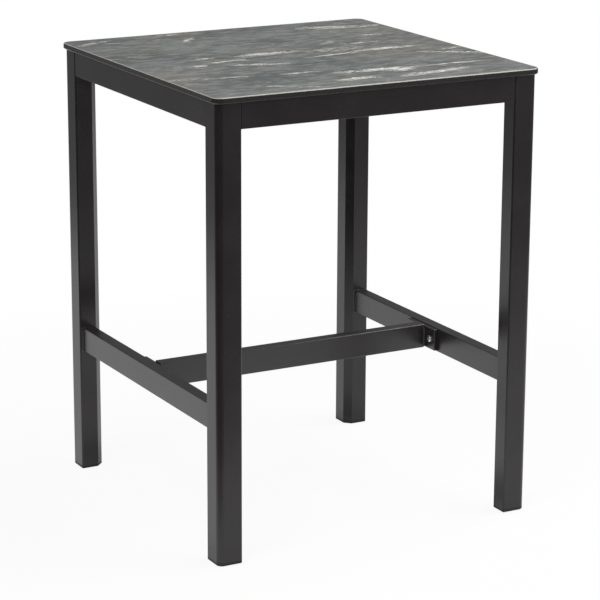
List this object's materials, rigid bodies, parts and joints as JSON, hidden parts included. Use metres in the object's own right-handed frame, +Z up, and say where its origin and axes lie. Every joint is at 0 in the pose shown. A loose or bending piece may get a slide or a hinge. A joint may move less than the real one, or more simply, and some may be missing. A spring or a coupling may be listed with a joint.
{
  "type": "pub table",
  "caption": "Square high table with a stone-patterned laminate top, a black tube frame, side stretchers joined by a cross bar as foot rest, and levelling feet.",
  "frame": {"origin": "on the floor, under the middle of the top", "axes": "+X to the right along the front, parallel to the cross bar; +Y to the back; +Z up"},
  "size_m": [0.7, 0.7, 0.9],
  "materials": {
    "laminate": "dark stone-patterned compact laminate, satin",
    "frame_coat": "black satin powder coat",
    "bracket_coat": "black coated steel",
    "zinc_steel": "bright zinc plate",
    "brass": "turned",
    "black_plastic": "moulded, fine matt"
  },
  "bodies": {
    "frame": {"apron_back": "frame_coat", "apron_front": "frame_coat", "apron_left": "frame_coat", "apron_right": "frame_coat", "bracket_screws": "zinc_steel", "cap_thread_bushes": "zinc_steel", "corner_bracket_back_left": "bracket_coat", "corner_bracket_back_right": "bracket_coat", "corner_bracket_front_left": "bracket_coat", "corner_bracket_front_right": "bracket_coat", "cross_bar": "frame_coat", "cross_bar_end_plate_left": "frame_coat", "cross_bar_end_plate_right": "frame_coat", "cross_bar_screws": "zinc_steel", "leg_back_left": "frame_coat", "leg_back_right": "frame_coat", "leg_bolt_washers": "zinc_steel", "leg_bolts": "zinc_steel", "leg_cap_back_left": "black_plastic", "leg_cap_back_right": "black_plastic", "leg_cap_front_left": "black_plastic", "leg_cap_front_right": "black_plastic", "leg_front_left": "frame_coat", "leg_front_right": "frame_coat", "leg_rivet_nuts": "zinc_steel", "side_stretcher_left": "frame_coat", "side_stretcher_right": "frame_coat", "stretcher_end_plate_back_left": "frame_coat", "stretcher_end_plate_back_right": "frame_coat", "stretcher_end_plate_front_left": "frame_coat", "stretcher_end_plate_front_right": "frame_coat", "stretcher_rivet_nuts": "zinc_steel", "table_top": "laminate", "top_inserts": "brass", "top_screws": "zinc_steel"},
    "foot_front_left": {"foot_pad_front_left": "black_plastic", "foot_stud_front_left": "zinc_steel"},
    "foot_front_right": {"foot_pad_front_right": "black_plastic", "foot_stud_front_right": "zinc_steel"},
    "foot_back_left": {"foot_pad_back_left": "black_plastic", "foot_stud_back_left": "zinc_steel"},
    "foot_back_right": {"foot_pad_back_right": "black_plastic", "foot_stud_back_right": "zinc_steel"}
  },
  "joints": [
    {"name": "level_front_left", "type": "slide", "parent": "frame", "child": "foot_front_left", "axis": [0, 0, -1], "range_m": [0, 0.01]},
    {"name": "level_front_right", "type": "slide", "parent": "frame", "child": "foot_front_right", "axis": [0, 0, -1], "range_m": [0, 0.01]},
    {"name": "level_back_left", "type": "slide", "parent": "frame", "child": "foot_back_left", "axis": [0, 0, -1], "range_m": [0, 0.01]},
    {"name": "level_back_right", "type": "slide", "parent": "frame", "child": "foot_back_right", "axis": [0, 0, -1], "range_m": [0, 0.01]}
  ]
}
